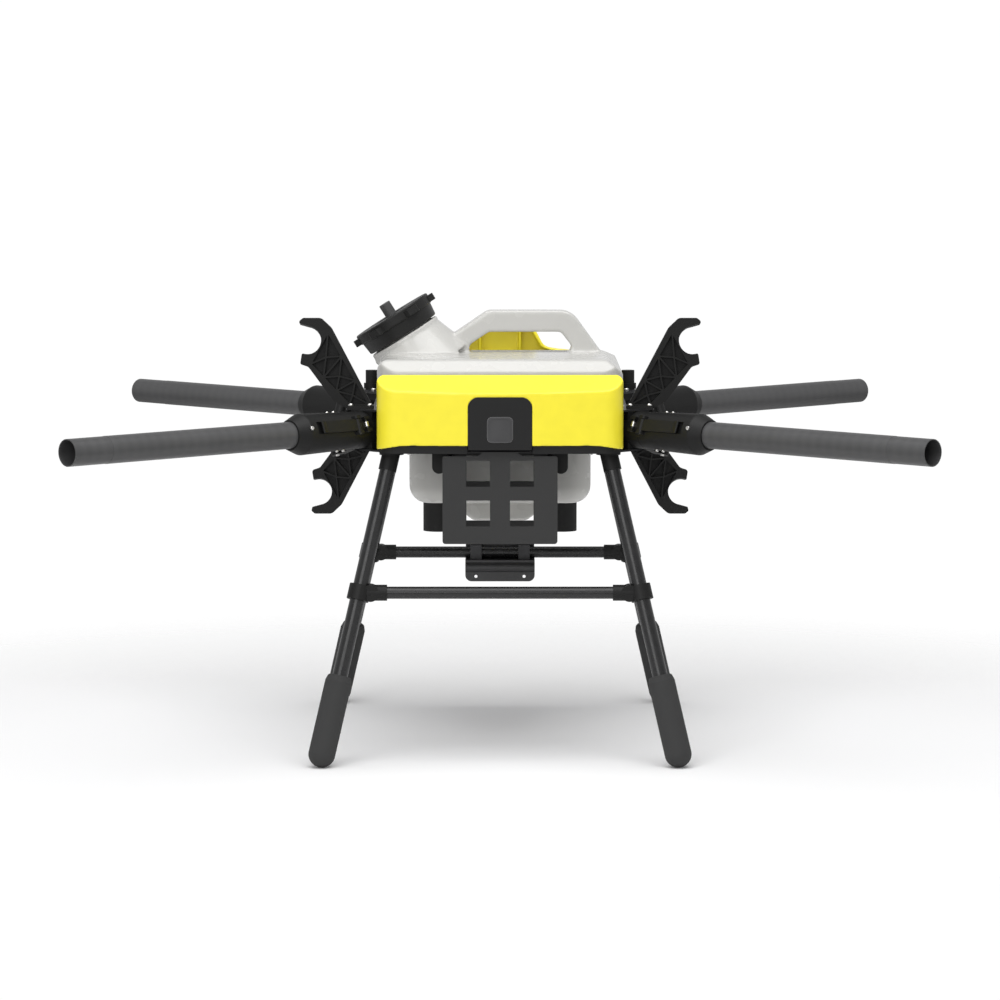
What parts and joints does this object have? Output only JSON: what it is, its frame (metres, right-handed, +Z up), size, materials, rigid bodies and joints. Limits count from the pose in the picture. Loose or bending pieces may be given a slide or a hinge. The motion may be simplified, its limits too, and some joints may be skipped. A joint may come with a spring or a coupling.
{
  "type": "folding sprayer drone airframe",
  "caption": "Folding agricultural drone airframe with a plug-in liquid tank, hinged tube arms that fold into ribbed clips, splayed tube legs and crossbars.",
  "frame": {"origin": "on the ground, under the middle of the airframe", "axes": "+Z up, -Y towards the nose, +X to the right seen from the nose"},
  "size_m": [1.0892, 1.0892, 0.6014],
  "materials": {
    "carbon": "wound carbon tube, satin",
    "carbon_sheet": "woven carbon sheet",
    "black_plastic": "fine moulded grain",
    "grey_sheet": "matt dark grey coat",
    "yellow_shell": "satin moulded",
    "tank_plastic": "blow moulded, slightly milky",
    "boot_rubber": "matt rubber",
    "steel": "bright zinc",
    "black_metal": "black anodised",
    "camera_glass": "dark window",
    "seal": "soft seal",
    "board": "circuit board",
    "outlet": "hose fitting"
  },
  "bodies": {
    "airframe": {"antenna_posts": "black_plastic", "bottom_plate": "carbon_sheet", "cage_brackets": "grey_sheet", "cage_front_plate": "grey_sheet", "cage_rear_plate": "grey_sheet", "camera_panel": "black_plastic", "corner_bars": "black_metal", "crossbar_clamps": "black_plastic", "flight_controller": "black_plastic", "frame_screws": "steel", "front_cover": "yellow_shell", "front_crossbar": "carbon", "front_left_arm_base": "black_plastic", "front_left_arm_clip": "black_plastic", "front_left_leg_boot": "boot_rubber", "front_left_leg_tube": "carbon", "front_right_arm_base": "black_plastic", "front_right_arm_clip": "black_plastic", "front_right_leg_boot": "boot_rubber", "front_right_leg_tube": "carbon", "joint_pins": "steel", "leg_sockets": "black_plastic", "nose_camera": "camera_glass", "plate_spacers": "black_metal", "power_board": "board", "pumps": "black_plastic", "radar_bracket": "black_metal", "radar_clamps": "black_plastic", "rear_cover": "yellow_shell", "rear_crossbar": "carbon", "rear_left_arm_base": "black_plastic", "rear_left_arm_clip": "black_plastic", "rear_left_leg_boot": "boot_rubber", "rear_left_leg_tube": "carbon", "rear_right_arm_base": "black_plastic", "rear_right_arm_clip": "black_plastic", "rear_right_leg_boot": "boot_rubber", "rear_right_leg_tube": "carbon", "top_plate": "carbon_sheet"},
    "front_left_arm": {"front_left_arm_holder": "black_plastic", "front_left_arm_tube": "carbon", "front_left_arm_screws": "steel"},
    "front_left_latch": {"front_left_latch_lever": "black_plastic"},
    "front_right_arm": {"front_right_arm_holder": "black_plastic", "front_right_arm_tube": "carbon", "front_right_arm_screws": "steel"},
    "front_right_latch": {"front_right_latch_lever": "black_plastic"},
    "rear_left_arm": {"rear_left_arm_holder": "black_plastic", "rear_left_arm_tube": "carbon", "rear_left_arm_screws": "steel"},
    "rear_left_latch": {"rear_left_latch_lever": "black_plastic"},
    "rear_right_arm": {"rear_right_arm_holder": "black_plastic", "rear_right_arm_tube": "carbon", "rear_right_arm_screws": "steel"},
    "rear_right_latch": {"rear_right_latch_lever": "black_plastic"},
    "tank": {"tank": "tank_plastic", "tank_outlet": "outlet"},
    "cap": {"tank_cap": "black_plastic", "cap_gasket": "seal", "vent_knob": "black_plastic"}
  },
  "joints": [
    {"name": "front_left_arm_fold", "type": "hinge", "parent": "airframe", "child": "front_left_arm", "pos_m": [-0.21893, -0.17281, 0.41779], "axis": [0.2568, -0.2568, -0.9317], "range_deg": [0, 132.98]},
    {"name": "front_left_latch_turn", "type": "hinge", "parent": "front_left_arm", "child": "front_left_latch", "pos_m": [-0.18469, -0.21723, 0.43947], "axis": [-0.2568, 0.2568, 0.9317], "range_deg": [0, 90]},
    {"name": "front_right_arm_fold", "type": "hinge", "parent": "airframe", "child": "front_right_arm", "pos_m": [0.21893, -0.17281, 0.41779], "axis": [0.2568, 0.2568, 0.9317], "range_deg": [0, 132.98]},
    {"name": "front_right_latch_turn", "type": "hinge", "parent": "front_right_arm", "child": "front_right_latch", "pos_m": [0.18469, -0.21723, 0.43947], "axis": [-0.2568, -0.2568, -0.9317], "range_deg": [0, 90]},
    {"name": "rear_left_arm_fold", "type": "hinge", "parent": "airframe", "child": "rear_left_arm", "pos_m": [-0.21893, 0.17281, 0.44321], "axis": [0.2568, 0.2568, 0.9317], "range_deg": [0, 132.98]},
    {"name": "rear_left_latch_turn", "type": "hinge", "parent": "rear_left_arm", "child": "rear_left_latch", "pos_m": [-0.18469, 0.21723, 0.42153], "axis": [-0.2568, -0.2568, -0.9317], "range_deg": [0, 90]},
    {"name": "rear_right_arm_fold", "type": "hinge", "parent": "airframe", "child": "rear_right_arm", "pos_m": [0.21893, 0.17281, 0.44321], "axis": [0.2568, -0.2568, -0.9317], "range_deg": [0, 132.98]},
    {"name": "rear_right_latch_turn", "type": "hinge", "parent": "rear_right_arm", "child": "rear_right_latch", "pos_m": [0.18469, 0.21723, 0.42153], "axis": [-0.2568, 0.2568, 0.9317], "range_deg": [0, 90]},
    {"name": "tank_lift", "type": "slide", "parent": "airframe", "child": "tank", "axis": [0, 0, 1], "range_m": [0, 0.2]},
    {"name": "cap_lift", "type": "slide", "parent": "tank", "child": "cap", "axis": [-0.5299, 0, 0.848], "range_m": [0, 0.08]}
  ]
}
